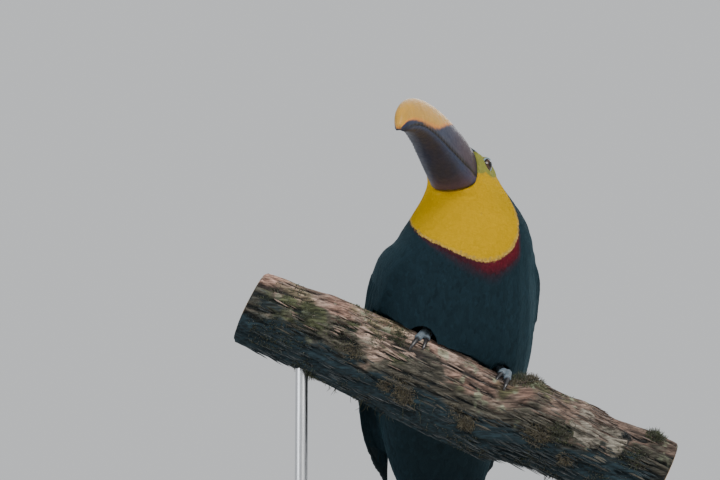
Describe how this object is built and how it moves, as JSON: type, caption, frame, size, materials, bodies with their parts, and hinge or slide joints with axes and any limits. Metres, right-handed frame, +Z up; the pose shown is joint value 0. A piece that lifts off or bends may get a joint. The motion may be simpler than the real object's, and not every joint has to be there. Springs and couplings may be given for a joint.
{
  "type": "toucan on a display stand",
  "caption": "Life-size yellow-throated toucan with its head turned over its shoulder, gripping a cut length of sloping branch on a flat base with upright rods.",
  "frame": {"origin": "centre of the stand's underside, on the floor", "axes": "+Z up, -Y the side the bird's chest faces, +X to that viewer's right, the perch sloping down towards +X"},
  "size_m": [0.3498, 0.3057, 0.4781],
  "materials": {
    "black_plumage": "black feathers with a faint blue sheen",
    "yellow_plumage": "short soft yellow feathers",
    "red_plumage": "soft dark red feathers",
    "cream_plumage": "soft cream feathers",
    "yellow_horn": "satin horn, yellow along the top and dark chestnut below",
    "dark_horn": "satin horn, dark chestnut to slate",
    "eye": "wet dark eye with a green-brown iris",
    "bare_skin": "bare yellow-green skin with fine folds",
    "foot_skin": "blue-grey scaly skin",
    "claw_horn": "dark polished horn",
    "bark": "weathered ridged bark with moss and lichen",
    "cut_wood": "sawn end grain",
    "stand_board": "matt stained board",
    "stand_steel": "brushed steel rod"
  },
  "bodies": {
    "root": {"trunk": "black_plumage", "neck": "yellow_plumage", "head": "yellow_plumage", "wing_left": "black_plumage", "wing_right": "black_plumage", "tail": "black_plumage", "bill_upper": "yellow_horn", "bill_lower": "dark_horn", "eye_left": "eye", "eye_right": "eye", "leg_left": "foot_skin", "foot_left": "foot_skin", "claw_left_inner_front": "claw_horn", "claw_left_outer_front": "claw_horn", "claw_left_inner_back": "claw_horn", "claw_left_outer_back": "claw_horn", "leg_right": "foot_skin", "foot_right": "foot_skin", "claw_right_inner_front": "claw_horn", "claw_right_outer_front": "claw_horn", "claw_right_inner_back": "claw_horn", "claw_right_outer_back": "claw_horn", "perch": "bark", "stand_base": "stand_board", "stand_rod_left": "stand_steel", "stand_rod_right": "stand_steel"}
  },
  "joints": []
}
